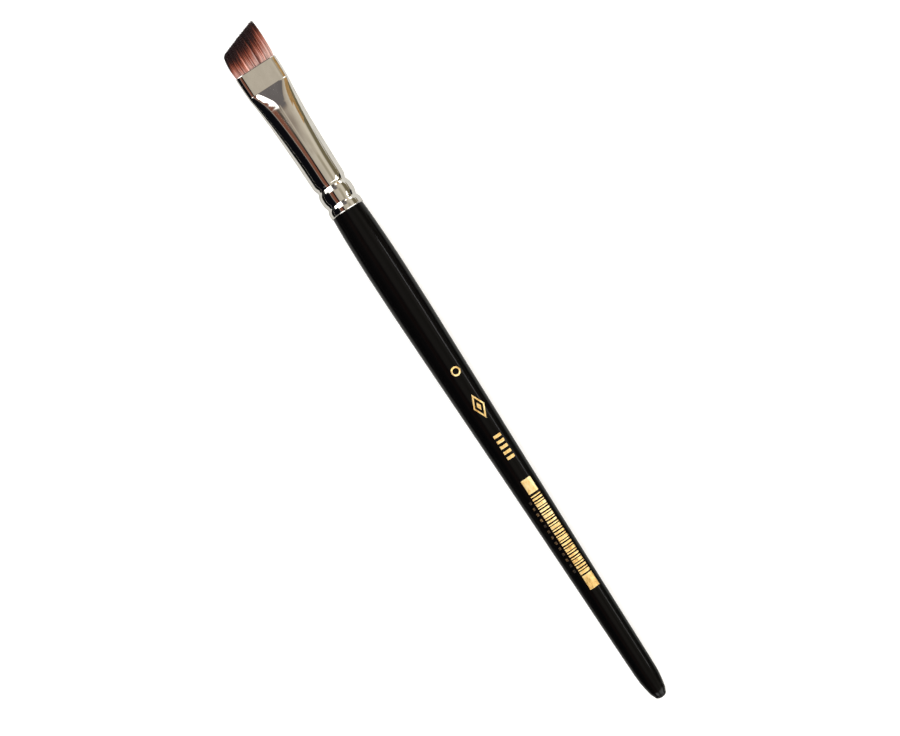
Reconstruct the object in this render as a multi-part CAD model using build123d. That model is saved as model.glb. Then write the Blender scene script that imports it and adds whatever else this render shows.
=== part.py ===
from build123d import *
import os

# A flat decorator's brush with an obliquely cut tuft, lying on a table with its flat up.
# Millimetres. +X runs along the axis towards the tuft, +Y across the flat, +Z up.
# The origin is on the table, under the middle of the brush's length.
# Distances called "from_mouth" run from the ferrule's mouth back towards the tail,
# and those called "from_rear" run from the ferrule's rear end towards the tail.

# Driving dimensions
TOTAL_LENGTH = 207.0
FERRULE_LENGTH = 44.6
TOE_OUT = 11.0               # free length of the tuft at its long side, on -Y
HEEL_OUT = 7.2               # free length of the tuft at its short side, on +Y
BELLY_RADIUS = 5.03          # the handle's thickest place, which lies on the table

# Ferrule: a seamless tube, pressed flat at its mouth
WALL = 0.25
MOUTH_WIDTH = 12.10
PRESS_HALF_HEIGHT = 1.85     # half the distance between the parallel flats
PRESS_FLAT = 4.45            # half the width of each flat
PRESS_LENGTH = 6.4           # length of the flats, from the mouth to the crease
UNDER_FLAT = 0.05            # how far the rounded sides reach under the flats
ROUND_START = 30.0           # from_mouth where the pressed wedge meets the round barrel
BARREL_RADIUS = 4.70
ROUND_SPLIT = 2.0            # degrees of the round section that meet each pressed face
# (from_mouth, full width, half height, half width of the flat) between mouth and crease
FLAT_STATIONS = (
    (0.0, MOUTH_WIDTH, PRESS_HALF_HEIGHT, PRESS_FLAT),
    (3.0, 12.18, PRESS_HALF_HEIGHT, PRESS_FLAT),
    (PRESS_LENGTH, 11.87, PRESS_HALF_HEIGHT, PRESS_FLAT),
)
# The same behind the crease: a steep V-shaped facet that runs out into rounder sections
WEDGE_STATIONS = (
    (PRESS_LENGTH, 11.87, PRESS_HALF_HEIGHT, PRESS_FLAT), (8.0, 11.55, 2.28, 2.80),
    (11.0, 11.00, 2.98, 0.60), (15.7, 10.34, 3.52, 0.25), (20.5, 9.95, 4.00, 0.20),
    (25.5, 9.62, 4.42, 0.17),
)

# Round barrel behind the wedge: (from_mouth, radius) through two crimps, a bead and the flare
BARREL_LINE = (
    (30.0, 4.70), (34.4, 4.66), (35.7, 4.56), (36.8, 4.17), (37.9, 4.57), (39.3, 4.74),
    (40.7, 4.60), (41.8, 4.30), (42.8, 4.68), (43.7, 4.80), (44.6, 4.80),
)

# Handle: turned wood under a skin of lacquer, (from_rear, radius) of the finished surface
LACQUER = 0.12
LACQUER_START = -1.0         # the lacquer begins just inside the ferrule's flare
HANDLE_LINE = (
    (-1.0, 4.42), (0.0, 4.53), (9.0, 4.90), (18.0, 5.03), (29.0, 4.95), (54.0, 4.51),
    (79.0, 4.04), (97.0, 3.74), (116.0, 3.44), (129.0, 3.265), (142.0, 3.06),
)
NOSE_LINE = ((148.0, 2.47), (150.4, 1.55))
NOSE_START_SLOPE = (-1.0, -0.022)

# Joint between handle and ferrule
CEMENT = 0.08
FIT_GAP = 0.02               # clearance between pieces that are fitted into each other
TENON_NOSE = (27.0, 3.0)     # from_mouth and radius of the tenon's end
TENON_FULL = 30.5            # from_mouth where the tenon reaches its full radius
CEMENT_END = 43.0

# Tuft and what holds it in the ferrule
HINGE_OUT = 0.5              # the bending axis lies this far outside the mouth
HINGE_CLEARANCE = 0.12
TUFT_HALF_THICKNESS = 1.45
ROOT_SHOULDER = 9.5          # from_mouth where the roots narrow to the bound butt
ROOT_END = 16.5
BOUND_INSET = 0.75
THREAD_START = 12.0
THREAD_PITCH = 0.45
THREAD_WIDTH = 0.40
THREAD_TURNS = 4
THREAD_DEPTH = 0.35
EPOXY_END = 21.0
# (out of the mouth, -Y side, +Y side, half thickness) of the free tuft before it is cut
TUFT_STATIONS = (
    (2.2, -5.98, 5.94, 1.50), (5.0, -6.00, 5.97, 1.30), (8.0, -5.95, 5.95, 0.85),
    (11.2, -5.70, 5.70, 0.35),
)
HEEL_CORNER = ((5.83, 5.0), (5.30, 6.4))    # (y, out of the mouth) on the rounded heel

# Stamped foil, on top of the handle and turned a little towards -Y
FOIL = 0.05
FOIL_TOP = 8.0               # the cutters reach this far above the axis
SIZE_RING = (50.5, -0.9, 1.30, 0.85)        # from_rear, y, outer and inner radius
EMBLEM = (61.4, -1.05, 7.2, 3.3, 0.45)      # from_rear, y, length, width, line
ITEM_BARS = (73.7, -0.85, 8.1, 2.2, 5)      # from_rear, y, length, bar height, how many
PANEL_START = 83.8
PANEL_LENGTH = 33.5
PANEL_SIDES = (-2.33, 0.55)
PANEL_BLOCK = 4.1            # solid block at each end of the panel
PANEL_BARS = 28
PANEL_RHYTHM = (0.30, 0.55, 0.30, 0.80)     # bar widths, repeated along the panel
TICK_SIDES = (1.15, 1.75)
TICK_START = 90.0
TICK_PITCH = 1.75
TICK_COUNT = 13
TICK_LENGTH = 0.75

# Worked out
MOUTH_X = TOTAL_LENGTH / 2 - TOE_OUT
REAR_X = MOUTH_X - FERRULE_LENGTH
TAIL_X = -TOTAL_LENGTH / 2
HINGE_X = MOUTH_X + HINGE_OUT
INNER = WALL + FIT_GAP
SEAT_REACH = MOUTH_WIDTH / 2 - WALL - HINGE_CLEARANCE    # half the tuft's width in the mouth
FAR = 30.0                   # half size of the blocks that trim other solids


def slot_face(x, half_width, half_height, half_flat):
    """A face across the axis at x: two flats joined by half-elliptical sides."""
    side = half_width - half_flat
    top = Line((half_flat, half_height), (-half_flat, half_height))
    low_side = EllipticalCenterArc((-half_flat, 0), side, half_height, 90, arc_size=180)
    bottom = Line((-half_flat, -half_height), (half_flat, -half_height))
    high_side = EllipticalCenterArc((half_flat, 0), side, half_height, -90, arc_size=180)
    return Plane.YZ.offset(x) * make_face(Curve() + [top, low_side, bottom, high_side])


def round_face(x, radius):
    """A circle across the axis, split where the slot-shaped sections have their corners."""
    side = 180 - 2 * ROUND_SPLIT
    top = CenterArc((0, 0), radius, 90 - ROUND_SPLIT, 2 * ROUND_SPLIT)
    low_side = CenterArc((0, 0), radius, 90 + ROUND_SPLIT, side)
    bottom = CenterArc((0, 0), radius, 270 - ROUND_SPLIT, 2 * ROUND_SPLIT)
    high_side = CenterArc((0, 0), radius, 270 + ROUND_SPLIT, side)
    return Plane.YZ.offset(x) * make_face(Curve() + [top, low_side, bottom, high_side])


def pressed_section(station, inset):
    """The tube's section at one station, moved inwards by inset."""
    from_mouth, width, half_height, half_flat = station
    return slot_face(MOUTH_X - from_mouth, width / 2 - inset, half_height - inset, half_flat)


def pressed_side(station, inset, side):
    """One rounded side of the pressed end's section, which reaches a little way under the flats."""
    from_mouth, width, half_height, half_flat = station
    half_height = half_height - inset
    start_angle = -90 * side
    middle = (side * half_flat, 0)
    reach = width / 2 - inset - half_flat
    arc = EllipticalCenterArc(middle, reach, half_height, start_angle, arc_size=180)
    under_y = side * (half_flat - UNDER_FLAT)
    under_z = side * (half_height - UNDER_FLAT)
    back = Polyline(arc @ 1, (under_y, under_z), (under_y, -under_z), arc @ 0)
    return Plane.YZ.offset(MOUTH_X - from_mouth) * make_face(Curve() + [arc, back])


def pressed_end(inset):
    """The end between the two parallel flats, with truly plane flats, moved inwards by inset."""
    block = Box(PRESS_LENGTH, 2 * PRESS_FLAT, 2 * (PRESS_HALF_HEIGHT - inset))
    end = Pos(MOUTH_X - PRESS_LENGTH / 2, 0, 0) * block
    for side in (-1, 1):
        end = end + loft([pressed_side(station, inset, side) for station in FLAT_STATIONS])
    return end


def turned(outline):
    """Solid of revolution about the axis, from an outline drawn above it."""
    first = outline @ 0
    last = outline @ 1
    corners = [last]
    if last.Y > FIT_GAP:
        corners.append(Vector(last.X, 0))
    corners.append(Vector(first.X, 0))
    corners.append(first)
    return revolve(make_face(Curve() + [outline, Polyline(*corners)]), Axis.X)


def slab(low_x, high_x):
    """A block that keeps only what lies between two places along the axis."""
    return Pos((low_x + high_x) / 2, 0, 0) * Box(high_x - low_x, 2 * FAR, 2 * FAR)


def between(low_from_mouth, high_from_mouth):
    """The same, between two distances from the mouth."""
    return slab(MOUTH_X - high_from_mouth, MOUTH_X - low_from_mouth)


def barrel(inset):
    """The round barrel with its crimps, bead and flare, moved inwards by inset."""
    points = [(MOUTH_X - from_mouth, radius - inset) for from_mouth, radius in BARREL_LINE]
    return turned(Spline(*points, tangents=[(-1, 0), (-1, 0)]))


def tube(inset):
    """Everything inside the ferrule's outer surface, moved inwards by inset."""
    wedge_sections = [pressed_section(station, inset) for station in WEDGE_STATIONS]
    wedge_sections.append(round_face(MOUTH_X - ROUND_START, BARREL_RADIUS - inset))
    return pressed_end(inset) + loft(wedge_sections) + barrel(inset)


def ferrule():
    """The thin metal tube."""
    return tube(0) - tube(WALL)


def handle(inset):
    """The handle behind the ferrule, moved inwards by inset."""
    body_points = [(REAR_X - back, radius - inset) for back, radius in HANDLE_LINE]
    nose_points = [body_points[-1]]
    nose_points += [(REAR_X - back + inset, radius - inset) for back, radius in NOSE_LINE]
    nose_points.append((TAIL_X + inset, 0))
    body = Spline(*body_points, tangents=[(-1, 0.1), NOSE_START_SLOPE])
    nose = Spline(*nose_points, tangents=[NOSE_START_SLOPE, (0, -1)])
    axis_line = Polyline(nose @ 1, Vector((body @ 0).X, 0), body @ 0)
    return revolve(make_face(Curve() + [body, nose, axis_line]), Axis.X)


def handle_core():
    """Turned wood: the body under the lacquer, and the tenon that the crimps bite into."""
    tenon_inset = WALL + CEMENT + FIT_GAP
    tenon = barrel(tenon_inset) & between(TENON_FULL, FERRULE_LENGTH - LACQUER_START)
    start_x = REAR_X - LACQUER_START
    tenon = tenon & slab(start_x, MOUTH_X)
    front = tenon.faces().sort_by(Axis.X)[-1]
    nose = loft([front, Plane.YZ.offset(MOUTH_X - TENON_NOSE[0]) * Circle(TENON_NOSE[1])])
    return handle(LACQUER) + tenon + nose


def handle_lacquer():
    """The gloss skin over the wood, closed over the tail."""
    return handle(0) - handle(LACQUER)


def handle_cement():
    """The film of glue between the tenon and the ferrule."""
    film = barrel(INNER) - barrel(WALL + CEMENT + FIT_GAP)
    return film & between(TENON_FULL, CEMENT_END)


def bending_round(radius):
    """A rod with round ends on the bending axis, as long as the mouth allows."""
    reach = SEAT_REACH - TUFT_HALF_THICKNESS
    rod = Rot(90, 0, 0) * Cylinder(radius, 2 * reach)
    ball = Sphere(radius)
    return Pos(HINGE_X, 0, 0) * (rod + Pos(0, reach, 0) * ball + Pos(0, -reach, 0) * ball)


def filament_roots():
    """The tuft's butt, packed in the mouth and bound where it narrows."""
    front = tube(INNER) & between(0.1, ROOT_SHOULDER)
    bound = tube(INNER + BOUND_INSET) & between(ROOT_SHOULDER, ROOT_END)
    return front + bound - bending_round(TUFT_HALF_THICKNESS + HINGE_CLEARANCE)


def binding_thread():
    """The turns of thread round the bound butt."""
    ring = tube(INNER + BOUND_INSET - THREAD_DEPTH) - tube(INNER + BOUND_INSET)
    turns = []
    for turn in range(THREAD_TURNS):
        start = THREAD_START + turn * THREAD_PITCH
        turns.append(ring & between(start, start + THREAD_WIDTH))
    return Compound(turns)


def epoxy_plug():
    """The resin that was poured round the bound butt."""
    fill = tube(INNER) & between(ROOT_SHOULDER, EPOXY_END)
    return fill - filament_roots() - binding_thread()


def tuft_plan():
    """The tuft seen from above: straight oblique cut, rounded heel, open at the mouth."""
    toe_x = MOUTH_X + TOE_OUT
    heel_x = MOUTH_X + HEEL_OUT
    last_y = HEEL_CORNER[-1][0] - 1.2
    cut_slope = (toe_x - heel_x) / (TUFT_STATIONS[-1][2] - TUFT_STATIONS[-1][1])
    cut_end_x = heel_x + (TUFT_STATIONS[-1][2] - last_y) * cut_slope
    corner = [(MOUTH_X + out, y) for y, out in HEEL_CORNER]
    cut = Line((toe_x, TUFT_STATIONS[-1][1]), (cut_end_x, last_y))
    heel = Spline((cut_end_x, last_y), *reversed(corner), (MOUTH_X + 3, 6.3))
    rest = Polyline(heel @ 1, (MOUTH_X - 5, 6.3), (MOUTH_X - 5, -6.3), (toe_x, -6.3), cut @ 0)
    return extrude(make_face(Curve() + [cut, heel, rest]), FAR, both=True)


def tuft_section(out, low_y, high_y, half_thickness):
    """The tuft's section at one place outside the mouth, with half-round sides."""
    half_width = (high_y - low_y) / 2
    half_flat = half_width - half_thickness
    middle = Pos(0, (low_y + high_y) / 2, 0)
    return middle * slot_face(MOUTH_X + out, half_width, half_thickness, half_flat)


def filament_tuft():
    """The free filaments as one body, with a round base that can turn in the mouth."""
    sections = [tuft_section(HINGE_OUT, -SEAT_REACH, SEAT_REACH, TUFT_HALF_THICKNESS)]
    sections += [tuft_section(*station) for station in TUFT_STATIONS]
    base = bending_round(TUFT_HALF_THICKNESS) & slab(HINGE_X - FAR, HINGE_X)
    return (loft(sections) + base) & tuft_plan()


def foil_layer(low_from_rear, high_from_rear):
    """A ring of foil on the handle, to be cut into marks."""
    ring = handle(-FOIL) - handle(0)
    return ring & slab(REAR_X - high_from_rear, REAR_X - low_from_rear)


def cutter(from_rear, y, length, width):
    """A block over the handle that leaves one rectangular mark."""
    place = Pos(REAR_X - from_rear, y, FOIL_TOP / 2)
    return place * Box(length, width, FOIL_TOP)


def foil_size_mark():
    """A plain ring."""
    back, y, outer, inner = SIZE_RING
    place = Pos(REAR_X - back, y, FOIL_TOP / 2)
    ring = place * (Cylinder(outer, FOIL_TOP) - Cylinder(inner, 2 * FOIL_TOP))
    return foil_layer(back - 2, back + 2) & ring


def foil_emblem():
    """A plain lozenge outline with a smaller solid lozenge in it."""
    back, y, length, width, line = EMBLEM
    frame = lozenge(length, width) - lozenge(length - 4 * line, width - 2 * line)
    heart = lozenge(length / 3, width / 3)
    prism = extrude(Pos(REAR_X - back, y, 0) * (frame + heart), FOIL_TOP)
    return foil_layer(back - length, back + length) & prism


def lozenge(length, width):
    """A flat rhombus about the origin."""
    points = ((length / 2, 0), (0, width / 2), (-length / 2, 0), (0, -width / 2))
    return make_face(Polyline(*points, close=True))


def foil_item_marks():
    """A row of equal bars."""
    back, y, length, height, count = ITEM_BARS
    pitch = length / count
    layer = foil_layer(back - length, back + length)
    marks = []
    for index in range(count):
        place = back - length / 2 + (index + 0.5) * pitch
        marks.append(layer & cutter(place, y, pitch / 2, height))
    return Compound(marks)


def foil_bar_panel():
    """A panel of bars in an even rhythm between two solid end blocks."""
    low_y, high_y = PANEL_SIDES
    y = (low_y + high_y) / 2
    width = high_y - low_y
    layer = foil_layer(PANEL_START - 1, PANEL_START + PANEL_LENGTH + 1)
    end = PANEL_START + PANEL_LENGTH
    marks = [layer & cutter(PANEL_START + PANEL_BLOCK / 2, y, PANEL_BLOCK, width)]
    marks.append(layer & cutter(end - PANEL_BLOCK / 2, y, PANEL_BLOCK, width))
    pitch = (PANEL_LENGTH - 2 * PANEL_BLOCK) / (PANEL_BARS + 1)
    for index in range(PANEL_BARS):
        place = PANEL_START + PANEL_BLOCK + (index + 1) * pitch
        bar = PANEL_RHYTHM[index % len(PANEL_RHYTHM)]
        marks.append(layer & cutter(place, y, bar, width))
    return Compound(marks)


def foil_tick_row():
    """A row of small ticks beside the panel."""
    low_y, high_y = TICK_SIDES
    layer = foil_layer(TICK_START - 2, TICK_START + TICK_COUNT * TICK_PITCH)
    marks = []
    for index in range(TICK_COUNT):
        place = TICK_START + index * TICK_PITCH
        marks.append(layer & cutter(place, (low_y + high_y) / 2, TICK_LENGTH, high_y - low_y))
    return Compound(marks)


PIECES = {
    "handle_core": handle_core,
    "handle_lacquer": handle_lacquer,
    "handle_cement": handle_cement,
    "ferrule": ferrule,
    "filament_roots": filament_roots,
    "binding_thread": binding_thread,
    "epoxy_plug": epoxy_plug,
    "filament_tuft": filament_tuft,
    "foil_size_mark": foil_size_mark,
    "foil_emblem": foil_emblem,
    "foil_item_marks": foil_item_marks,
    "foil_bar_panel": foil_bar_panel,
    "foil_tick_row": foil_tick_row,
}

os.makedirs("parts", exist_ok=True)
for name, make in PIECES.items():
    piece = Pos(0, 0, BELLY_RADIUS) * make()
    export_step(piece, f"parts/{name}.step")
    size = piece.bounding_box().size
    print(f"{name}: {size.X:.2f} x {size.Y:.2f} x {size.Z:.2f}, {piece.volume:.1f} mm3")
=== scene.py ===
"""The looks of an angled flat brush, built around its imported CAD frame. Blender units are metres."""

import math

import bpy
import numpy as np
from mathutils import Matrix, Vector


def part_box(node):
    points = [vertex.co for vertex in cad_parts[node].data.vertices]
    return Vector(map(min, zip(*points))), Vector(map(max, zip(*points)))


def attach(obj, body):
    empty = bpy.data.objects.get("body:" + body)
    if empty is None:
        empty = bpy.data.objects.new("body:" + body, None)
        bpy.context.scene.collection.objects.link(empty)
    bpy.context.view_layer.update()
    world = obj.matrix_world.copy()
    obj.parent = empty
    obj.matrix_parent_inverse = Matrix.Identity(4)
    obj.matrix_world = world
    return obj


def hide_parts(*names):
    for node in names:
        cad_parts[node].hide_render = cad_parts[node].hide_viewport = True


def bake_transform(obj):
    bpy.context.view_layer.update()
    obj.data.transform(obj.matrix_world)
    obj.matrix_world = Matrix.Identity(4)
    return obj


MM = 0.001

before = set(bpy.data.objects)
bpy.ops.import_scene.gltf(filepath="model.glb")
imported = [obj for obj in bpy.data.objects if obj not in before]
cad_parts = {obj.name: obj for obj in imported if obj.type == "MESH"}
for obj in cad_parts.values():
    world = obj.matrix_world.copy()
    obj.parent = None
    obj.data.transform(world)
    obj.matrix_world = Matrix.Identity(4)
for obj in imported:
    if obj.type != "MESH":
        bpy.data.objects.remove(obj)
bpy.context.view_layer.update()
ferrule_low, ferrule_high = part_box("ferrule")
tuft_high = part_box("filament_tuft")[1]
lacquer_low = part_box("handle_lacquer")[0]

# Places along the brush in metres, and how far out of the mouth the tuft's toe is, in mm
MOUTH_X = ferrule_high.x
REAR_X = ferrule_low.x
TAIL_X = lacquer_low.x
AXIS_Z = (ferrule_low.z + ferrule_high.z) / 2
TOE_OUT = (tuft_high.x - MOUTH_X) / MM


# ---------------------------------------------------------------- shared helpers

def smooth_line(points, at):
    """A curve through (place, value) points that never overshoots them, read at many places."""
    x, y = np.array(points, float).T
    step = np.diff(x)
    slope = np.diff(y) / step
    tangent = np.zeros(len(x))
    tangent[0] = slope[0]
    tangent[-1] = slope[-1]
    same_way = slope[:-1] * slope[1:] > 0
    before = 2 * step[1:] + step[:-1]
    after = step[1:] + 2 * step[:-1]
    safe_left = np.where(same_way, slope[:-1], 1.0)
    safe_right = np.where(same_way, slope[1:], 1.0)
    mean = (before + after) / (before / safe_left + after / safe_right)
    tangent[1:-1] = np.where(same_way, mean, 0.0)
    at = np.clip(at, x[0], x[-1])
    i = np.clip(np.searchsorted(x, at) - 1, 0, len(step) - 1)
    t = (at - x[i]) / step[i]
    start = (1 + 2 * t) * (1 - t) ** 2 * y[i] + t * (1 - t) ** 2 * step[i] * tangent[i]
    end = t * t * (3 - 2 * t) * y[i + 1] + t * t * (t - 1) * step[i] * tangent[i + 1]
    return start + end


def step_up(low, high, value):
    """0 below low, 1 above high, and a smooth rise between them."""
    t = np.clip((value - low) / (high - low), 0, 1)
    return t * t * (3 - 2 * t)


def make_piece(name, vertices, faces, material, body="brush", stands_for=()):
    """A smooth mesh piece that rides on a CAD body. With body None it is attached to no body."""
    mesh = bpy.data.meshes.new(name)
    mesh.from_pydata([tuple(v) for v in vertices], [], faces)
    mesh.validate()
    mesh.shade_smooth()
    mesh.materials.append(material)
    piece = bpy.data.objects.new(name, mesh)
    bpy.context.scene.collection.objects.link(piece)
    if body:
        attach(piece, body)
    if stands_for:
        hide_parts(*stands_for)
    return piece


def rings_to_faces(rings, around, first=0):
    """Quads between neighbouring rings of a closed band."""
    faces = []
    for ring in range(rings - 1):
        low = first + ring * around
        high = low + around
        for k in range(around):
            following = (k + 1) % around
            faces.append((low + k, low + following, high + following, high + k))
    return faces


# ---------------------------------------------------------------- material helpers

class Nodes:
    """A short way to write a node tree."""

    def __init__(self, tree):
        self.tree = tree
        tree.nodes.clear()

    def add(self, kind, settings=None, **inputs):
        """A node of that kind, its settings, and its inputs as values or output sockets.

        An input goes by its name, or by its number as i0, i1 and so on.
        """
        node = self.tree.nodes.new("ShaderNode" + kind)
        for key, value in (settings or {}).items():
            setattr(node, key, value)
        for key, value in inputs.items():
            numbered = key[0] == "i" and key[1:].isdigit()
            socket = node.inputs[int(key[1:]) if numbered else key]
            if isinstance(value, bpy.types.NodeSocket):
                self.tree.links.new(value, socket)
            else:
                socket.default_value = value
        return node

    def math(self, operation, first, second):
        return self.add("Math", {"operation": operation}, i0=first, i1=second).outputs[0]

    def weighted(self, *terms):
        """The sum of (value, weight) terms."""
        parts = [self.math("MULTIPLY", value, weight) for value, weight in terms]
        total = parts[0]
        for part in parts[1:]:
            total = self.math("ADD", total, part)
        return total

    def ramp(self, factor, stops):
        """A colour ramp from (place, colour) stops."""
        node = self.add("ValToRGB", Fac=factor)
        elements = node.color_ramp.elements
        while len(elements) < len(stops):
            elements.new(0.5)
        for element, (place, _) in zip(elements, stops):
            element.position = place
        for element, (_, colour) in zip(elements, stops):
            element.color = (*colour, 1)
        return node.outputs[0]

    def noise(self, vector, scale, detail=3.0, roughness=0.5):
        """Cloudy noise with that many features per metre."""
        inputs = {"Vector": vector, "Scale": scale, "Detail": detail, "Roughness": roughness}
        return self.add("TexNoise", **inputs).outputs[0]

    def streaks(self, place, along, across, detail=3.0, roughness=0.5):
        """Noise with separate numbers of features per metre along the brush and across it."""
        stretched = self.add("Mapping", Vector=place, Scale=(along, across, across)).outputs[0]
        return self.noise(stretched, 1.0, detail, roughness)

    def bump(self, height, strength, depth):
        """A normal bumped by a pattern, where a height of 1 is that many metres."""
        return self.add("Bump", Height=height, Strength=strength, Distance=depth).outputs[0]

    def between(self, value, low, high, new_low, new_high):
        """A value carried from one range to another, held at its ends."""
        node = self.add("MapRange", i0=value, i1=low, i2=high, i3=new_low, i4=new_high)
        return node.outputs[0]

    def mix(self, factor, first, second, blend="MIX"):
        settings = {"data_type": "RGBA", "blend_type": blend}
        node = self.add("Mix", settings)
        self.plug(factor, node.inputs[0])
        self.plug(first, node.inputs[6])
        self.plug(second, node.inputs[7])
        return node.outputs[2]

    def plug(self, value, socket):
        if isinstance(value, bpy.types.NodeSocket):
            self.tree.links.new(value, socket)
        elif isinstance(value, tuple) and len(value) == 3:
            socket.default_value = (*value, 1)
        else:
            socket.default_value = value


def new_material(name):
    """An empty node material, with its tree and its object coordinates in metres."""
    material = bpy.data.materials.new(name)
    material.use_nodes = True
    nodes = Nodes(material.node_tree)
    place = nodes.add("TexCoord").outputs["Object"]
    return material, nodes, place


def finish_surface(nodes, colour, roughness, normal=None, **fixed):
    """The Principled shader: patterned colour, roughness and normal, and fixed plain values."""
    shader = nodes.add("BsdfPrincipled")
    nodes.plug(colour, shader.inputs["Base Color"])
    nodes.plug(roughness, shader.inputs["Roughness"])
    if normal is not None:
        nodes.plug(normal, shader.inputs["Normal"])
    for key, value in fixed.items():
        shader.inputs[key.replace("_", " ")].default_value = value
    output = nodes.add("OutputMaterial")
    nodes.tree.links.new(shader.outputs[0], output.inputs[0])
    return shader


# ---------------------------------------------------------------- camera and stage

AXIS_TURN = math.radians(122.88)     # how far +X is turned from the picture's right
VIEW_WIDTH = 235.4 * MM              # what the picture spans at the brush's axis
CAMERA_AIM = (-1.09 * MM, -0.11 * MM)
LENS = 90.0
SENSOR = 36.0

FLOOR_SIZE = 12.0
FLOOR_GRAIN = 900.0
FLOOR_GLOW = 0.22                    # lifts the floor to plain white in the picture
FLOOR_MIRRORED = (0.53, 0.53, 0.52)  # the floor as gloss surfaces mirror it, a light grey
MATT = 0.9                           # roughness of the floor and the cards

# Colours of the studio that the metal mirrors
BLACK = (0.004, 0.004, 0.006)
CARD_BLACK = (0.005, 0.005, 0.005)
BROWN = (0.24, 0.09, 0.055)
OCHRE = (0.50, 0.31, 0.13)
OLIVE = (0.19, 0.16, 0.095)
PALE = (0.36, 0.31, 0.27)
BEIGE_DARK = (0.32, 0.26, 0.21)
BEIGE_SHADE = (0.55, 0.495, 0.415)
BEIGE = (0.66, 0.60, 0.50)
BEIGE_STREAK = (0.44, 0.39, 0.29)
BEIGE_LIGHT = (0.74, 0.68, 0.56)
GREY_CARD = (0.17, 0.155, 0.155)
DARK_CARD = (0.06, 0.055, 0.05)
SOFTBOX = (4.0, 4.0, 3.9)
BACKDROP = (0.98, 0.98, 0.98)        # what the camera itself sees past the floor

# Low cards beside the brush: name, x range, y range and colour
CARD_HEIGHT = 0.2 * MM
LYING_CARDS = (
    ("long_black_card", (-0.4, 0.4), (0.021, 0.5), CARD_BLACK),
    ("handle_black_card", (-0.4, REAR_X), (-0.5, -0.024), CARD_BLACK),
    ("barrel_olive_card", (REAR_X, REAR_X + 28 * MM), (-0.5, -0.04), OLIVE),
)
# Ochre cards that stand beside the tuft's long side: name, x range from the mouth and z range, in mm
OCHRE_CARD_Y = -25 * MM
OCHRE_CARDS = (
    ("low_ochre_card", (-13.5, -6.5), (15, 23)),
    ("tall_ochre_card", (-6.5, 4.5), (9, 30)),
)
CARD_GRAIN = 300.0
CARD_DARKER = 0.7                    # the darkest grain of a card, as a share of its colour
# A long narrow light that draws one thin highlight along the lacquer
STRIP_RANGE = (-0.11, REAR_X - 4 * MM)
STRIP_Y = -60 * MM
STRIP_HEIGHTS = (36 * MM, 42 * MM)
STRIP_WHITE = (0.9, 0.9, 0.9)
STRIP_GLOW = 7.0
# Soft fill that nothing mirrors: name, place, aim, side in metres, power in watts
LAMPS = (
    ("top_softbox", (0.15, 0.1, 0.9), (0, 0, 0), 0.9, 4.6),
    ("toe_softbox", (0.6, -0.5, 0.7), (0.05, 0, 0), 0.5, 2.0),
)


def make_camera():
    """Straight above the brush, turned so that the brush lies on the picture's diagonal."""
    data = bpy.data.cameras.new("camera")
    data.lens = LENS
    data.sensor_width = SENSOR
    data.clip_start = 0.01
    data.clip_end = 50.0
    camera = bpy.data.objects.new("camera", data)
    bpy.context.scene.collection.objects.link(camera)
    distance = VIEW_WIDTH * LENS / SENSOR
    camera.location = (*CAMERA_AIM, AXIS_Z + distance)
    camera.rotation_euler = (0, 0, -AXIS_TURN)
    bpy.context.scene.camera = camera


def floor_material():
    """Off-white grain, one plain grey for gloss rays, and a glow that only the camera sees."""
    material, nodes, place = new_material("pale_floor")
    grain = nodes.noise(place, FLOOR_GRAIN)
    white = nodes.ramp(grain, [(0.3, (0.90, 0.90, 0.90)), (0.7, (0.92, 0.92, 0.92))])
    rays = nodes.add("LightPath")
    colour = nodes.mix(rays.outputs["Is Glossy Ray"], white, FLOOR_MIRRORED)
    glow = nodes.math("MULTIPLY", rays.outputs["Is Camera Ray"], FLOOR_GLOW)
    shader = finish_surface(nodes, colour, MATT, Specular_IOR_Level=0.1, Emission_Color=(1, 1, 1, 1))
    nodes.plug(glow, shader.inputs["Emission Strength"])
    return material


def add_sheet(name, corners, face, material):
    """A flat four-cornered object for the stage."""
    mesh = bpy.data.meshes.new(name)
    mesh.from_pydata(corners, [], [face])
    mesh.materials.append(material)
    sheet = bpy.data.objects.new(name, mesh)
    bpy.context.scene.collection.objects.link(sheet)
    return sheet


def make_floor():
    half = FLOOR_SIZE / 2
    corners = [(-half, -half, 0), (half, -half, 0), (half, half, 0), (-half, half, 0)]
    floor = add_sheet("floor", corners, (0, 1, 2, 3), floor_material())


def make_card(name, corners, colour, glow=0.0):
    """A card, with its corners in rows, that shows only where a gloss surface mirrors it."""
    material, nodes, place = new_material(name)
    darker = tuple(CARD_DARKER * part for part in colour)
    shade = nodes.ramp(nodes.noise(place, CARD_GRAIN), [(0.3, darker), (0.7, colour)])
    finish_surface(nodes, shade, MATT, Specular_IOR_Level=0.0, Emission_Color=(*colour, 1),
                   Emission_Strength=glow)
    card_object = add_sheet(name, corners, (0, 2, 3, 1), material)
    card_object.visible_camera = False
    card_object.visible_diffuse = False
    card_object.visible_shadow = False


def make_cards():
    for name, x_range, y_range, colour in LYING_CARDS:
        make_card(name, [(x, y, CARD_HEIGHT) for x in x_range for y in y_range], colour)
    strip = [(x, STRIP_Y, z) for x in STRIP_RANGE for z in STRIP_HEIGHTS]
    make_card("handle_strip", strip, STRIP_WHITE, STRIP_GLOW)
    for name, from_mouth, z_range in OCHRE_CARDS:
        x_range = [MOUTH_X + out * MM for out in from_mouth]
        make_card(name, [(x, OCHRE_CARD_Y, z * MM) for x in x_range for z in z_range], OCHRE)


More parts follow.
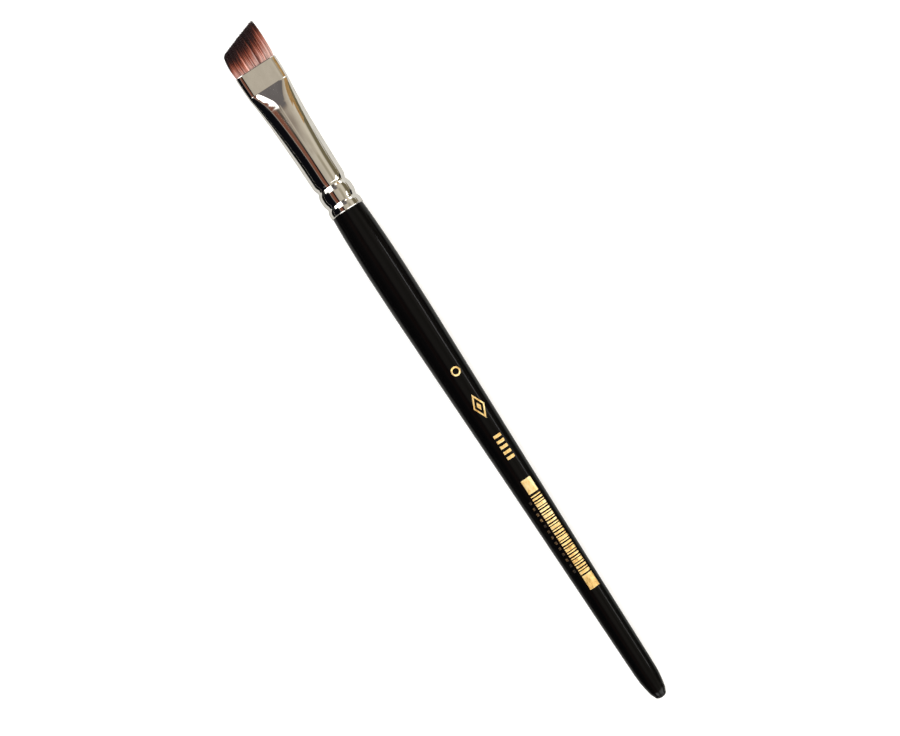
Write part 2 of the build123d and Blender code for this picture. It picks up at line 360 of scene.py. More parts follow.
def make_lamps():
    """Square soft lamps, each facing its aim."""
    for name, place, aim, side, power in LAMPS:
        data = bpy.data.lights.new(name, "AREA")
        data.shape = "SQUARE"
        data.size = side
        data.energy = power
        lamp = bpy.data.objects.new(name, data)
        bpy.context.scene.collection.objects.link(lamp)
        lamp.location = place
        from_aim = lamp.location - type(lamp.location)(aim)
        lamp.rotation_euler = from_aim.to_track_quat("Z", "Y").to_euler()
        lamp.visible_camera = False
        lamp.visible_glossy = False


# The studio as the ferrule mirrors it to a viewer overhead. A direction goes by the slope of the
# surface that mirrors it: u towards the tuft, v towards +Y. A slope of 1 mirrors the horizon.
# Bands that run along the brush: v and colour
WORLD_BANDS = (
    (-1.15, OLIVE), (-0.64, OLIVE), (-0.55, BEIGE_LIGHT), (-0.40, BEIGE_LIGHT),
    (-0.32, BEIGE_STREAK), (-0.24, BEIGE_STREAK), (-0.17, BEIGE), (0.08, BEIGE_SHADE),
    (0.095, BLACK), (0.155, BLACK), (0.175, BROWN), (0.32, BROWN), (0.335, PALE),
    (0.355, PALE), (0.37, BLACK), (1.15, BLACK),
)
V_SPAN = 2.4                         # the bands' ramp runs across v from -half to +half of this
LEAST_RISE = 0.05                    # keeps u and v finite straight below
# Cards over the bands, each over those before: u range, v range, soft edges in u and v, colour
WORLD_CARDS = (
    ((0.13, 0.60), (-0.40, -0.20), 0.025, 0.04, BEIGE),
    ((0.15, 0.60), (-0.24, 0.12), 0.025, 0.12, BEIGE_DARK),
    ((0.20, 0.95), (0.04, 0.36), 0.012, 0.012, SOFTBOX),
    ((0.18, 0.50), (-0.20, 0.045), 0.012, 0.012, GREY_CARD),
    ((0.50, 1.10), (-0.12, 0.06), 0.02, 0.02, DARK_CARD),
    ((0.42, 0.95), (0.30, 0.62), 0.02, 0.02, SOFTBOX),
    ((0.55, 0.95), (-0.75, -0.22), 0.02, 0.02, SOFTBOX),
    ((-0.95, -0.40), (-0.75, -0.05), 0.02, 0.02, SOFTBOX),
    ((-0.95, -0.45), (0.12, 0.50), 0.02, 0.02, SOFTBOX),
)


def card_mask(nodes, *ranges):
    """1 inside the (value, range, soft edge) limits and 0 outside them."""
    sides = []
    for value, (low, high), edge in ranges:
        sides.append(nodes.between(value, low - edge, low + edge, 0.0, 1.0))
        sides.append(nodes.between(value, high - edge, high + edge, 1.0, 0.0))
    mask = sides[0]
    for side in sides[1:]:
        mask = nodes.math("MULTIPLY", mask, side)
    return mask


def make_world():
    world = bpy.data.worlds.new("studio")
    bpy.context.scene.world = world
    world.use_nodes = True
    nodes = Nodes(world.node_tree)
    direction = nodes.add("TexCoord").outputs["Generated"]
    x, y, z = nodes.add("SeparateXYZ", Vector=direction).outputs
    rise = nodes.math("MAXIMUM", nodes.math("ADD", z, 1.0), LEAST_RISE)
    u = nodes.math("DIVIDE", x, rise)
    v = nodes.math("DIVIDE", y, rise)
    across = nodes.math("ADD", nodes.math("DIVIDE", v, V_SPAN), 0.5)
    room = nodes.ramp(across, [(slope / V_SPAN + 0.5, colour) for slope, colour in WORLD_BANDS])
    for u_range, v_range, u_edge, v_edge, colour in WORLD_CARDS:
        mask = card_mask(nodes, (u, u_range, u_edge), (v, v_range, v_edge))
        room = nodes.mix(mask, room, colour)
    seen = nodes.add("LightPath").outputs["Is Camera Ray"]
    background = nodes.add("Background", Color=nodes.mix(seen, room, BACKDROP), Strength=1.0)
    output = nodes.add("OutputWorld")
    nodes.tree.links.new(background.outputs[0], output.inputs[0])


# ---------------------------------------------------------------- ferrule

# Sizes are in mm
WALL = 0.25
PRESS_HALF_HEIGHT = 1.85
PRESS_LENGTH = 6.4
CREASE_RADIUS = 0.14                 # the crease behind the flats is averaged over this
CREASE_STEPS = np.array([-1.0, -0.5, 0.0, 0.5, 1.0])
# (distance back from the mouth, value): half the width, and half the height behind the flats
HALF_WIDTH_LINE = (
    (0.0, 6.04), (1.6, 6.075), (3.2, 6.06), (4.8, 6.01), (6.4, 5.93), (8.0, 5.78), (9.5, 5.62),
    (11.0, 5.49), (12.6, 5.38), (15.7, 5.17), (18.9, 5.03), (22.0, 4.91), (25.5, 4.81),
    (30.0, 4.72), (34.4, 4.66),
)
WEDGE_HEIGHT_LINE = (
    (6.4, 1.85), (8.0, 2.28), (9.5, 2.67), (11.0, 2.98), (13.2, 3.28), (15.7, 3.52),
    (20.5, 4.00), (25.5, 4.42), (30.0, 4.70), (34.4, 4.66),
)
# Half the width of the flat between the rounded sides
FLAT_LINE = (
    (0.0, 3.60), (5.0, 3.60), (6.3, 3.70), (6.5, 2.90), (7.0, 2.30), (8.0, 1.70), (9.5, 0.85),
    (10.6, 0.25), (12.0, 0.0),
)
# How square the rounded sides are: 2 is an ellipse
SQUARE_LINE = ((0.0, 2.6), (6.0, 2.6), (7.0, 2.4), (9.0, 2.1), (12.0, 2.0))
# The round barrel, its two crimps with the bead between them, and the flare: radius
BARREL_LINE = (
    (34.4, 4.66), (35.3, 4.61), (35.75, 4.50), (36.2, 4.33), (36.65, 4.17), (36.95, 4.17),
    (37.35, 4.33), (37.8, 4.53), (38.3, 4.67), (38.9, 4.73), (39.6, 4.73), (40.4, 4.67),
    (41.0, 4.53), (41.45, 4.37), (41.75, 4.30), (42.0, 4.34), (42.4, 4.53), (42.9, 4.71),
    (43.4, 4.78), (44.6, 4.79),
)
AROUND_SIDE = 72                     # points round each half of a section
RIM = 0.24                           # radius of the rounded edges
RIM_PLACES = 6
# Ring spacing along the tube: from, to, step
RING_STEPS = ((0.4, 6.0, 0.4), (6.0, 7.0, 0.05), (7.0, 15.0, 0.25), (15.0, 34.5, 0.5))
CRIMP_STEPS = (34.5, 0.07)           # from where on, and the step
REAR_MARGIN = 0.2                    # the last ring before the rear rim is this far inside
INNER_EDGE = 0.03                    # where the wall's inner edge is broken
INNER_START = 0.2                    # from here in the inside is plain
INNER_CLEAR = 0.3                    # the wall's inner rings stop this far from the rear end


def tube_section(back, inset):
    """The ferrule's section that far behind the mouth, as (y, z) in mm, moved inwards."""
    if back > BARREL_LINE[0][0]:
        half_width = half_height = smooth_line(BARREL_LINE, back)
        flat = 0.0
        square = 2.0
    else:
        half_width = smooth_line(HALF_WIDTH_LINE, back)
        near = back + CREASE_RADIUS * CREASE_STEPS
        wedge = smooth_line(WEDGE_HEIGHT_LINE, near)
        half_height = np.where(near < PRESS_LENGTH, PRESS_HALF_HEIGHT, wedge).mean()
        flat = smooth_line(FLAT_LINE, back)
        square = smooth_line(SQUARE_LINE, back)
    turn = np.linspace(-math.pi / 2, math.pi / 2, AROUND_SIDE)
    outwards = np.cos(turn) ** (2 / square)
    upwards = np.sign(turn) * np.abs(np.sin(turn)) ** (2 / square)
    side = half_width - flat - inset
    y = np.concatenate([flat + side * outwards, -flat - side * outwards])
    z = (half_height - inset) * np.concatenate([upwards, -upwards])
    return y, z


def ferrule_rings():
    """(distance back, inset) of each ring: along the outside, over the rim, back inside."""
    length = (MOUTH_X - REAR_X) / MM
    start, step = CRIMP_STEPS
    spans = [*RING_STEPS, (start, length - REAR_MARGIN, step)]
    places = np.concatenate([np.arange(*span) for span in spans])
    turn = np.linspace(0, math.pi / 2, RIM_PLACES)
    rim = [(RIM * (1 - math.sin(t)), RIM * (1 - math.cos(t))) for t in turn]
    rings = rim[::-1]
    rings += [(back, 0.0) for back in places]
    rings += [(length - back, inset) for back, inset in rim]
    inside = places[places < length - INNER_CLEAR][::3]
    rings += [(length - INNER_EDGE, WALL - INNER_EDGE), (length - INNER_START, WALL)]
    rings += [(back, WALL) for back in inside[::-1]]
    rings += [(INNER_START, WALL), (INNER_EDGE, WALL - INNER_EDGE)]
    return rings


def ferrule_material():
    """Polished nickel plate: faint drawing lines along the tube, smears and small pits."""
    material, nodes, place = new_material("polished_nickel")
    lines = nodes.streaks(place, 60.0, 5200.0, 4.0)
    smear = nodes.streaks(place, 260.0, 420.0, 4.0, 0.6)
    pits = nodes.add("TexVoronoi", {"feature": "DISTANCE_TO_EDGE"}, Vector=place, Scale=700.0)
    speck = nodes.between(pits.outputs[0], 0.0, 0.02, 1.0, 0.0)
    colour = nodes.ramp(smear, [(0.3, (0.72, 0.70, 0.66)), (0.7, (0.78, 0.76, 0.72))])
    roughness = nodes.between(smear, 0.35, 0.75, 0.035, 0.10)
    height = nodes.weighted((lines, 0.4), (smear, 1.0), (speck, -0.05))
    finish_surface(nodes, colour, roughness, nodes.bump(height, 0.10, 0.00002), Metallic=1.0)
    return material


def make_ferrule():
    around = 2 * AROUND_SIDE
    vertices = []
    rings = ferrule_rings()
    for back, inset in rings:
        y, z = tube_section(back, inset)
        x = np.full(around, MOUTH_X - back * MM)
        vertices.append(np.column_stack([x, y * MM, AXIS_Z + z * MM]))
    faces = rings_to_faces(len(rings), around)
    last = (len(rings) - 1) * around
    for k in range(around):
        following = (k + 1) % around
        faces.append((last + k, last + following, following, k))
    faces = [face[::-1] for face in faces]
    make_piece("ferrule_shell", np.concatenate(vertices), faces, ferrule_material(),
               stands_for=["ferrule"])


# ---------------------------------------------------------------- handle

LACQUER = 0.12                       # thickness of the skin, in mm
# (distance back from the ferrule's rear end, radius), in mm
HANDLE_LINE = (
    (-1.0, 4.42), (0.0, 4.53), (1.5, 4.63), (5.0, 4.78), (9.0, 4.90), (14.0, 5.00), (18.0, 5.03),
    (23.0, 5.00), (29.0, 4.95), (41.0, 4.76), (54.0, 4.51), (66.0, 4.28), (79.0, 4.04),
    (97.0, 3.74), (106.0, 3.60), (116.0, 3.44), (129.0, 3.26), (137.0, 3.14), (142.0, 3.06),
    (144.8, 2.94), (146.6, 2.73), (148.0, 2.47), (149.3, 2.20), (150.4, 1.70),
)
NOSE_START = 150.4                   # behind this the tip is a plain dome
# Ring spacing along the handle: from, to, step
HANDLE_STEPS = ((-1.0, 12.0, 0.5), (12.0, 140.0, 1.0), (140.0, NOSE_START, 0.25))
NOSE_PLACES = 12
HANDLE_AROUND = 128
LACQUER_IOR = 1.22                   # low, so that the black mirrors the studio only faintly


def handle_radius(back):
    """The finished handle's radius that far behind the ferrule, in mm."""
    return smooth_line(HANDLE_LINE, back)


def handle_profile(inset):
    """(distance back, radius) along the handle to its rounded tip, and the tip, in mm."""
    places = np.concatenate([np.arange(*span) for span in HANDLE_STEPS])
    profile = [(back, handle_radius(back) - inset) for back in places]
    tip = (REAR_X - TAIL_X) / MM - inset
    end_radius = handle_radius(NOSE_START) - inset
    for t in np.linspace(0.0, math.pi / 2, NOSE_PLACES)[:-1]:
        profile.append((NOSE_START + (tip - NOSE_START) * math.sin(t), end_radius * math.cos(t)))
    return profile, tip


def lacquer_material():
    """Black gloss lacquer over wood: grain that shows through as long shallow waves, and dust."""
    material, nodes, place = new_material("black_lacquer")
    grain = nodes.streaks(place, 14.0, 900.0, 4.0)
    peel = nodes.streaks(place, 260.0, 420.0, 2.0)
    dust = nodes.between(nodes.noise(place, 2600.0, 1.0), 0.72, 0.78, 0.0, 1.0)
    colour = nodes.ramp(grain, [(0.35, (0.0010, 0.0010, 0.0012)), (0.7, (0.0022, 0.0020, 0.0020))])
    roughness = nodes.between(peel, 0.3, 0.7, 0.10, 0.17)
    height = nodes.weighted((grain, 0.7), (peel, 1.0), (dust, 0.25))
    finish_surface(nodes, colour, roughness, nodes.bump(height, 0.22, 0.00003), IOR=LACQUER_IOR)
    return material


def make_handle():
    """The lacquer skin, a closed shell with the tip rounded."""
    outer, outer_tip = handle_profile(0.0)
    inner, inner_tip = handle_profile(LACQUER)
    rings = list(reversed(inner)) + outer
    turn = np.linspace(0, 2 * math.pi, HANDLE_AROUND, endpoint=False)
    vertices = []
    for back, radius in rings:
        x = np.full(HANDLE_AROUND, REAR_X - back * MM)
        y = radius * MM * np.cos(turn)
        z = AXIS_Z + radius * MM * np.sin(turn)
        vertices.append(np.column_stack([x, y, z]))
    vertices = np.concatenate(vertices)
    faces = rings_to_faces(len(rings), HANDLE_AROUND)
    poles = np.array([[REAR_X - inner_tip * MM, 0, AXIS_Z], [REAR_X - outer_tip * MM, 0, AXIS_Z]])
    inner_pole = len(vertices)
    last = (len(rings) - 1) * HANDLE_AROUND
    for k in range(HANDLE_AROUND):
        following = (k + 1) % HANDLE_AROUND
        faces.append((inner_pole, following, k))
        faces.append((inner_pole + 1, last + k, last + following))
    make_piece("handle_skin", np.concatenate([vertices, poles]), faces, lacquer_material(),
               stands_for=["handle_lacquer"])


# ---------------------------------------------------------------- stamped foil

FOIL_LIFT = 0.012                    # the foil's top above the lacquer, in mm
FOIL_SUNK = 0.02                     # its underside lies this far inside the lacquer
FOIL_CELL = 0.14                     # size of the foil mesh's cells
FOIL_RAGGED = 0.012                  # how uneven its edges are
RING_RAGGED = 0.01
RING_PLACES = 49


class FoilSheet:
    """Collects thin patches that follow the handle, for one foil mark."""

    def __init__(self, seed):
        self.vertices = []
        self.faces = []
        self.random = np.random.default_rng(seed)

    def on_handle(self, back, y, lift):
        """Points that far above the finished handle, in metres."""
        radius = handle_radius(back) + lift
        z = np.sqrt(np.maximum(radius ** 2 - y ** 2, 0.0))
        return np.column_stack([REAR_X - back * MM, y * MM, AXIS_Z + z * MM])

    def patch(self, back, y):
        """A closed thin slab over a grid of places, back and y as equal 2-D arrays in mm."""
        rows, columns = back.shape
        first = len(self.vertices)
        for lift in (FOIL_LIFT, -FOIL_SUNK):
            self.vertices.extend(self.on_handle(back.ravel(), y.ravel(), lift))
        below = rows * columns

        def spot(row, column):
            return first + row * columns + column

        for row in range(rows - 1):
            for column in range(columns - 1):
                near = (spot(row, column), spot(row + 1, column))
                far = (spot(row + 1, column + 1), spot(row, column + 1))
                quad = near + far
                self.faces.append(quad)
                self.faces.append(tuple(corner + below for corner in reversed(quad)))
        edge = [(0, column) for column in range(columns)]
        edge += [(row, columns - 1) for row in range(1, rows)]
        edge += [(rows - 1, column) for column in range(columns - 2, -1, -1)]
        edge += [(row, 0) for row in range(rows - 2, 0, -1)]
        for here, following in zip(edge, edge[1:] + edge[:1]):
            a, b = spot(*here), spot(*following)
            self.faces.append((a, b, b + below, a + below))

    def quad(self, corners):
        """A patch between four (back, y) corners, with slightly uneven edges."""
        c = np.array(corners, float)
        length = max(np.linalg.norm(c[1] - c[0]), np.linalg.norm(c[2] - c[3]))
        width = max(np.linalg.norm(c[3] - c[0]), np.linalg.norm(c[2] - c[1]))
        s = np.linspace(0, 1, max(2, round(length / FOIL_CELL) + 1))[:, None]
        t = np.linspace(0, 1, max(2, round(width / FOIL_CELL) + 1))[None, :]
        weights = ((1 - s) * (1 - t), s * (1 - t), s * t, (1 - s) * t)
        back = sum(weight * corner[0] for weight, corner in zip(weights, c))
        y = sum(weight * corner[1] for weight, corner in zip(weights, c))
        wobble = self.random.normal(0, FOIL_RAGGED, (2, *back.shape))
        self.patch(back + wobble[0], y + wobble[1])

    def bar(self, back, y, length, width):
        """A rectangle that runs length along the handle and width across it."""
        a, b = back - length / 2, back + length / 2
        c, d = y - width / 2, y + width / 2
        self.quad(((a, c), (b, c), (b, d), (a, d)))

    def ring(self, back, y, outer, inner):
        """A ring of foil round a place."""
        turn = np.linspace(0, 2 * math.pi, RING_PLACES)[:, None]
        wobble = self.random.normal(0, RING_RAGGED, (RING_PLACES, 2))
        radius = np.array([inner, outer])[None, :] + wobble
        radius[-1] = radius[0]
        self.patch(back + radius * np.cos(turn), y + radius * np.sin(turn))

    def lozenge(self, back, y, length, width, line=None):
        """A rhombus, solid or as an outline."""
        tips = np.array([(length / 2, 0), (0, width / 2), (-length / 2, 0), (0, -width / 2)])
        inner = np.zeros((4, 2)) if line is None else tips * (1 - 2 * line / width)
        for k in range(4):
            following = (k + 1) % 4
            ring = [inner[k], tips[k], tips[following], inner[following]]
            self.quad([(back + p[0], y + p[1]) for p in ring])

    def finish(self, name, node, material):
        make_piece(name, np.array(self.vertices), self.faces, material, stands_for=[node])


def foil_material():
    """Gold hot foil: mirror-like but uneven, duller and browner where it is thin."""
    material, nodes, place = new_material("gold_foil")
    wear = nodes.streaks(place, 800.0, 1500.0, 5.0, 0.65)
    fade = nodes.noise(place, 160.0, 2.0)
    tone = nodes.weighted((wear, 0.6), (fade, 0.4))
    stops = [(0.33, (0.50, 0.27, 0.08)), (0.46, (0.90, 0.60, 0.22)), (0.60, (1.0, 0.82, 0.43))]
    roughness = nodes.between(wear, 0.3, 0.7, 0.42, 0.28)
    normal = nodes.bump(wear, 0.35, 0.00002)
    finish_surface(nodes, nodes.ramp(tone, stops), roughness, normal, Metallic=0.65)
    return material


def worn_foil_material():
    """The same foil where fingers have rubbed most of it off."""
    material, nodes, place = new_material("worn_gold_foil")
    wear = nodes.streaks(place, 600.0, 900.0, 4.0, 0.7)
    stops = [(0.42, (0.012, 0.009, 0.007)), (0.56, (0.10, 0.055, 0.02)), (0.68, (0.32, 0.20, 0.08))]
    roughness = nodes.between(wear, 0.3, 0.7, 0.6, 0.4)
    normal = nodes.bump(wear, 0.3, 0.00002)
    finish_surface(nodes, nodes.ramp(wear, stops), roughness, normal, Metallic=0.4)
    return material


# Places of the marks in mm, as on the CAD nodes that they stand for
# (distance back, y, outer and inner radius), (.., length, width, line) and (.., length, height, count)
SIZE_RING = (50.5, -0.9, 1.30, 0.85)
EMBLEM = (61.4, -1.05, 7.2, 3.3, 0.45)
ITEM_BARS = (73.7, -0.85, 8.1, 2.2, 5)
PANEL_START = 83.8
PANEL_LENGTH = 33.5
PANEL_SIDES = (-2.33, 0.55)
PANEL_BLOCK = 4.1
PANEL_BARS = 28
PANEL_RHYTHM = (0.30, 0.55, 0.30, 0.80)
TICK_SIDES = (1.15, 1.75)
TICK_START = 90.0
TICK_PITCH = 1.75
TICK_COUNT = 13
TICK_LENGTH = 0.75


def make_size_mark(material):
    sheet = FoilSheet(11)
    sheet.ring(*SIZE_RING)
    sheet.finish("foil_ring", "foil_size_mark", material)


def make_emblem(material):
    sheet = FoilSheet(12)
    back, y, length, width, line = EMBLEM
    sheet.lozenge(back, y, length, width, line)
    sheet.lozenge(back, y, length / 3, width / 3)
    sheet.finish("foil_lozenge", "foil_emblem", material)


def make_item_marks(material):
    sheet = FoilSheet(13)
    back, y, length, height, count = ITEM_BARS
    pitch = length / count
    for index in range(count):
        sheet.bar(back - length / 2 + (index + 0.5) * pitch, y, pitch / 2, height)
    sheet.finish("foil_item_bars", "foil_item_marks", material)


def make_bar_panel(material):
    sheet = FoilSheet(14)
    y = sum(PANEL_SIDES) / 2
    width = PANEL_SIDES[1] - PANEL_SIDES[0]
    sheet.bar(PANEL_START + PANEL_BLOCK / 2, y, PANEL_BLOCK, width)
    sheet.bar(PANEL_START + PANEL_LENGTH - PANEL_BLOCK / 2, y, PANEL_BLOCK, width)
    pitch = (PANEL_LENGTH - 2 * PANEL_BLOCK) / (PANEL_BARS + 1)
    for index in range(PANEL_BARS):
        place = PANEL_START + PANEL_BLOCK + (index + 1) * pitch
        sheet.bar(place, y, PANEL_RHYTHM[index % len(PANEL_RHYTHM)], width)
    sheet.finish("foil_panel", "foil_bar_panel", material)


def make_tick_row(material):
    sheet = FoilSheet(15)
    y = sum(TICK_SIDES) / 2
    for index in range(TICK_COUNT):
        sheet.bar(TICK_START + index * TICK_PITCH, y, TICK_LENGTH, TICK_SIDES[1] - TICK_SIDES[0])
    sheet.finish("foil_ticks", "foil_tick_row", material)


# ---------------------------------------------------------------- filaments

# Sizes are in mm
HEEL_OUT = 7.2                       # free length at the short side
HEEL_TRIM = 0.15                     # the straight cut would end this far short of it
CORNER_START = 0.90                  # where across the heel's corner begins to round off
CORNER_ROUND = 0.30                  # and by how much
MOUTH_REACH = 5.62                   # half the tuft's width and thickness in the mouth
MOUTH_DEPTH = 1.42
ROOT_BACK = 1.6                      # how far each filament is drawn inside the ferrule
FILAMENTS = 2800
FILAMENT_RADIUS = 0.062
RADIUS_SPREAD = (0.85, 1.2)
TAPER_TO = 0.62                      # radius at the tip, as a share of the root's
TIP_ROUND = 0.55                     # and how much more the last ring shrinks
FILAMENT_SIDES = 5
FILAMENT_PLACES = 11
PLACE_CURVE = 0.85                   # under 1, so that the places are closer together at the tip
TWIST_STEP = 0.7                     # each filament's facets are turned this much from the last's
RAGGED = 0.07                        # spread of the filaments' lengths
CUT_BACK = 0.02                      # the cut lies this far inside the outline, on average
CUT_WAVES = ((0.03, 23.0, 1.3), (0.04, 51.0, 0.0))  # height, rate and phase across
TOE_SPARE = 0.03                     # no filament ends further past the toe
CLUMPS = 120
CLUMP_SPREAD = 1.05                  # clump middles lie up to this far across, the sides being 1
GATHER = 0.12                        # how much a clump draws together
GATHER_RANGE = (0.3, 5.5)            # from where out to where it sets in
OUTER_GATHER_LESS = 0.6              # less so at the front and the back
DRIFT = 0.010                        # spread of the filaments' slopes across
DRIFT_THROUGH = 0.5                  # the same through the tuft, as a share
SWAY = 0.045                         # spread of their waves' heights
SWAY_RATE = 0.7
SWAY_RANGE = (0.5, 3)
SIDE_SPARE = 0.04                    # how far a centre line may stand out past the tuft's sides
# (distance out, y of the toe side), (.. heel side) and (.. half thickness)
TOE_SIDE = ((0.0, 5.72), (1.2, 5.97), (4.0, 6.06), (6.5, 6.06), (9.0, 6.00), (11.0, 5.86))
HEEL_SIDE = (
    (0.0, 5.72), (1.2, 5.94), (3.0, 5.97), (4.2, 5.90), (5.4, 5.74), (6.9, 5.46), (11.0, 4.9),
)
DEPTH_LINE = (
    (0.0, 1.42), (1.5, 1.50), (4.0, 1.34), (6.0, 1.08), (8.0, 0.74), (9.6, 0.46), (11.2, 0.26),
)
# Dye runs from 0 at the mouth to 1 at the tip, and a filament or clump may be ahead or behind
CLUMP_DYE = (0.03, 0.04, -0.03)      # even spread, one-sided spread and shift
OWN_DYE = 0.09
TOE_PALER = 0.20
HEEL_DARKER = 0.12
SIDE_START = 0.35                    # where across the paler and darker sides begin
CLUMP_SHADE = (0.08, 0.92)
OWN_SHADE = 0.22


def cut_length(across):
    """How far out the oblique cut lies, for across from -1 at the toe side to 1 at the heel."""
    straight = TOE_OUT + (HEEL_OUT - HEEL_TRIM - TOE_OUT) * (across + 1) / 2
    return straight - CORNER_ROUND * step_up(CORNER_START, 1.0, across)


def filament_seats(random):
    """Jittered seats (across, through) that fill the mouth, both from -1 to 1."""
    seats = []
    while len(seats) < FILAMENTS:
        across = random.uniform(-1, 1)
        through = random.uniform(-1, 1)
        corner = max(abs(across) * MOUTH_REACH - (MOUTH_REACH - MOUTH_DEPTH), 0) / MOUTH_DEPTH
        if corner ** 2 + through ** 2 <= 1:
            seats.append((across, through))
    return np.array(seats)


def clump_places(across, random):
    """Which clump each filament belongs to, and where across that clump's middle is."""
    middles = np.sort(random.uniform(-CLUMP_SPREAD, CLUMP_SPREAD, CLUMPS))
    clump = np.abs(across[:, None] - middles[None, :]).argmin(1)
    return clump, middles[clump]


def free_lengths(across, random):
    """How far out each filament ends: the oblique cut with two faint waves and ragged ends."""
    count = len(across)
    wave = sum(height * np.sin(across * rate + phase) for height, rate, phase in CUT_WAVES)
    ragged = random.normal(0, RAGGED, count) - RAGGED * random.exponential(1.0, count)
    length = cut_length(across) - CUT_BACK + wave + ragged
    return np.minimum(length, TOE_OUT + TOE_SPARE)


def filament_paths(seats, random):
    """Centre lines (out, y, z) in mm from the mouth's middle, each free length and clump."""
    across = seats[:, 0]
    through = seats[:, 1]
    count = len(seats)
    clump, middle = clump_places(across, random)
    length = free_lengths(across, random)
    share = np.linspace(0, 1, FILAMENT_PLACES) ** PLACE_CURVE
    out = -ROOT_BACK + share[None, :] * (length + ROOT_BACK)[:, None]
    free = np.clip(out, 0, None)
    toe = smooth_line(TOE_SIDE, free)
    heel = smooth_line(HEEL_SIDE, free)
    inner = 1 - OUTER_GATHER_LESS * np.abs(through)
    gather = GATHER * step_up(*GATHER_RANGE, free) * inner[:, None]
    sideways = across[:, None] + gather * (middle - across)[:, None]
    drift = random.normal(0, DRIFT, (count, 2))
    sway = random.normal(0, SWAY, count)
    phase = random.uniform(0, 6.28, count)
    wave = sway[:, None] * np.sin(free * SWAY_RATE + phase[:, None]) * step_up(*SWAY_RANGE, free)
    y = np.where(sideways < 0, sideways * toe, sideways * heel) + drift[:, :1] * free + wave
    z = through[:, None] * smooth_line(DEPTH_LINE, free) + drift[:, 1:] * free * DRIFT_THROUGH
    limit_y = np.where(y < 0, toe, heel) + SIDE_SPARE
    return out, np.clip(y, -limit_y, limit_y), z, length, clump


def tube_along(out, y, z, radius):
    """Vertices in metres and faces of thin tapered tubes along all paths at once."""
    count, places = out.shape
    turn = np.linspace(0, 2 * math.pi, FILAMENT_SIDES, endpoint=False)
    facing = turn[None, None, :] + np.arange(count)[:, None, None] * TWIST_STEP
    x = np.broadcast_to(out[:, :, None], (count, places, FILAMENT_SIDES))
    ring_y = y[:, :, None] + radius[:, :, None] * np.cos(facing)
    ring_z = z[:, :, None] + radius[:, :, None] * np.sin(facing)
    points = np.stack([MOUTH_X + x * MM, ring_y * MM, AXIS_Z + ring_z * MM], axis=-1)
    faces = []
    for strand in range(count):
        base = strand * places * FILAMENT_SIDES
        tip = base + (places - 1) * FILAMENT_SIDES
        faces.append(tuple(base + k for k in reversed(range(FILAMENT_SIDES))))
        faces.extend(rings_to_faces(places, FILAMENT_SIDES, base))
        faces.append(tuple(tip + k for k in range(FILAMENT_SIDES)))
    return points.reshape(-1, 3), faces


def filament_material():
    """Dyed synthetic filament: pale pink root, red-brown middle, almost black tip."""
    material, nodes, place = new_material("dyed_filament")
    dye = nodes.add("Attribute", {"attribute_name": "dye"}).outputs["Fac"]
    shade = nodes.add("Attribute", {"attribute_name": "shade"}).outputs["Fac"]
    dyed = nodes.ramp(dye, [
        (0.00, (0.56, 0.39, 0.35)), (0.14, (0.49, 0.27, 0.235)), (0.30, (0.34, 0.125, 0.088)),
        (0.42, (0.24, 0.062, 0.036)), (0.54, (0.075, 0.020, 0.014)), (0.66, (0.017, 0.007, 0.007)),
        (1.00, (0.010, 0.004, 0.005)),
    ])
    tone = nodes.ramp(shade, [
        (0.0, (0.32, 0.22, 0.22)), (0.5, (1.0, 1.0, 1.0)), (1.0, (1.55, 1.5, 1.45)),
    ])
    colour = nodes.mix(1.0, dyed, tone, "MULTIPLY")
    streaks = nodes.streaks(place, 300.0, 4000.0, 2.0)
    roughness = nodes.between(streaks, 0.3, 0.7, 0.28, 0.42)
    finish_surface(nodes, colour, roughness, Specular_IOR_Level=0.15)
    return material


def filament_dye(seats, share_out, clump, random):
    """How far along the dye each place of each filament is."""
    even, one_sided, shift = CLUMP_DYE
    clump_dye = random.normal(0, even, CLUMPS) + one_sided * random.exponential(1.0, CLUMPS) + shift
    own_dye = random.normal(0, OWN_DYE, len(seats))
    toe_paler = TOE_PALER * step_up(SIDE_START, 1.0, -seats[:, 0])
    heel_darker = HEEL_DARKER * step_up(SIDE_START, 1.0, seats[:, 0])
    ahead = clump_dye[clump] + own_dye + heel_darker - toe_paler
    return np.clip(share_out, 0, 1) + ahead[:, None]


def filament_shade(clump, random):
    """How light each filament is, from 0 to 1, the same along its length."""
    clump_shade = random.uniform(*CLUMP_SHADE, CLUMPS)[clump]
    shade = np.clip(clump_shade + random.normal(0, OWN_SHADE, len(clump)), 0, 1)
    return np.repeat(shade[:, None], FILAMENT_PLACES, axis=1)


def add_point_value(mesh, name, values):
    """Values of each filament's places, given to all points of the ring there."""
    attribute = mesh.attributes.new(name, "FLOAT", "POINT")
    per_point = np.repeat(values, FILAMENT_SIDES)
    attribute.data.foreach_set("value", np.asarray(per_point, np.float32))


def make_filaments():
    """The whole tuft, as a front and a back layer of separate filaments."""
    random = np.random.default_rng(20)
    seats = filament_seats(random)
    out, y, z, length, clump = filament_paths(seats, random)
    taper = np.linspace(1.0, TAPER_TO, FILAMENT_PLACES)[None, :]
    radius = FILAMENT_RADIUS * random.uniform(*RADIUS_SPREAD, len(seats))[:, None] * taper
    radius[:, -1] *= TIP_ROUND
    dye = filament_dye(seats, out / length[:, None], clump, random)
    shade = filament_shade(clump, random)
    material = filament_material()
    for name, chosen, stands_for in (
        ("filaments_front", seats[:, 1] >= 0, ["filament_tuft"]),
        ("filaments_back", seats[:, 1] < 0, []),
    ):
        points, faces = tube_along(out[chosen], y[chosen], z[chosen], radius[chosen])
        piece = make_piece(name, points, faces, material, None, stands_for)
        add_point_value(piece.data, "dye", dye[chosen])
        add_point_value(piece.data, "shade", shade[chosen])
        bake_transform(piece)


# ---------------------------------------------------------------- pieces inside

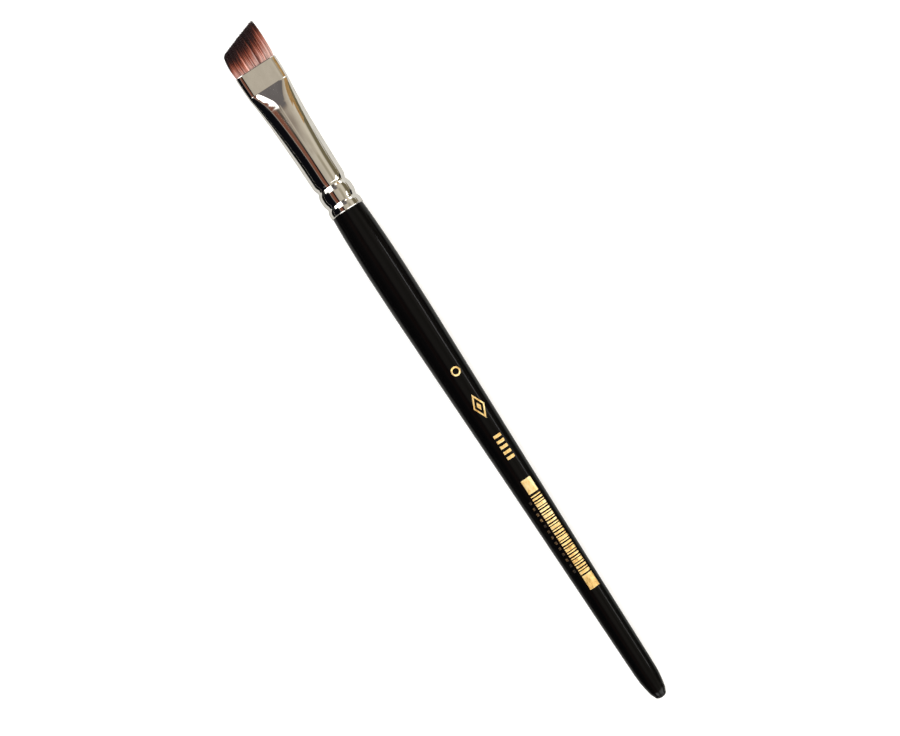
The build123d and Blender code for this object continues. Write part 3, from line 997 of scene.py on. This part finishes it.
def wood_material():
    """Pale turned wood with its grain along the handle."""
    material, nodes, place = new_material("turned_wood")
    grain = nodes.streaks(place, 35.0, 1100.0, 6.0, 0.6)
    colour = nodes.ramp(grain, [(0.3, (0.36, 0.21, 0.10)), (0.7, (0.66, 0.47, 0.28))])
    roughness = nodes.between(grain, 0.3, 0.7, 0.75, 0.55)
    finish_surface(nodes, colour, roughness, nodes.bump(grain, 0.3, 0.00005))
    return material


def cured_material(name, dark, light, shine):
    """Resin or glue with cloudy colour and a rippled skin. A low shine value is glossy."""
    material, nodes, place = new_material(name)
    cloud = nodes.noise(place, 700.0, 4.0)
    colour = nodes.ramp(cloud, [(0.3, dark), (0.7, light)])
    roughness = nodes.between(cloud, 0.3, 0.7, shine, shine + 0.15)
    finish_surface(nodes, colour, roughness, nodes.bump(cloud, 0.2, 0.00005))
    return material


def thread_material():
    """Off-white thread with its twist as diagonal bands."""
    material, nodes, place = new_material("twisted_thread")
    bands = {"bands_direction": "DIAGONAL"}
    twist = nodes.add("TexWave", bands, Vector=place, Scale=2200.0, Distortion=1.0).outputs[0]
    colour = nodes.ramp(twist, [(0.0, (0.55, 0.50, 0.42)), (1.0, (0.85, 0.81, 0.72))])
    finish_surface(nodes, colour, 0.8, nodes.bump(twist, 0.5, 0.00005))
    return material


def packed_roots_material():
    """The filaments' butts, packed side by side."""
    material, nodes, place = new_material("packed_roots")
    strands = nodes.streaks(place, 90.0, 6500.0, 3.0)
    colour = nodes.ramp(strands, [(0.35, (0.20, 0.09, 0.08)), (0.65, (0.58, 0.38, 0.35))])
    roughness = nodes.between(strands, 0.3, 0.7, 0.55, 0.35)
    finish_surface(nodes, colour, roughness, nodes.bump(strands, 0.6, 0.00008))
    return material


def dress_inner_nodes():
    """New materials on the CAD nodes that stay as they are."""
    looks = {
        "handle_core": wood_material(),
        "handle_cement": cured_material("cured_cement", (0.50, 0.42, 0.26), (0.74, 0.68, 0.50), 0.5),
        "epoxy_plug": cured_material("cured_resin", (0.34, 0.19, 0.06), (0.60, 0.40, 0.18), 0.15),
        "binding_thread": thread_material(),
        "filament_roots": packed_roots_material(),
    }
    for name, material in looks.items():
        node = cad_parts[name]
        node.data.materials.clear()
        node.data.materials.append(material)


# ---------------------------------------------------------------- build

bpy.context.scene.view_settings.view_transform = "Standard"
make_camera()
make_world()
make_lamps()
make_floor()
make_cards()
make_ferrule()
make_handle()
gold = foil_material()
make_size_mark(gold)
make_emblem(gold)
make_item_marks(gold)
make_bar_panel(gold)
make_tick_row(worn_foil_material())
make_filaments()
dress_inner_nodes()
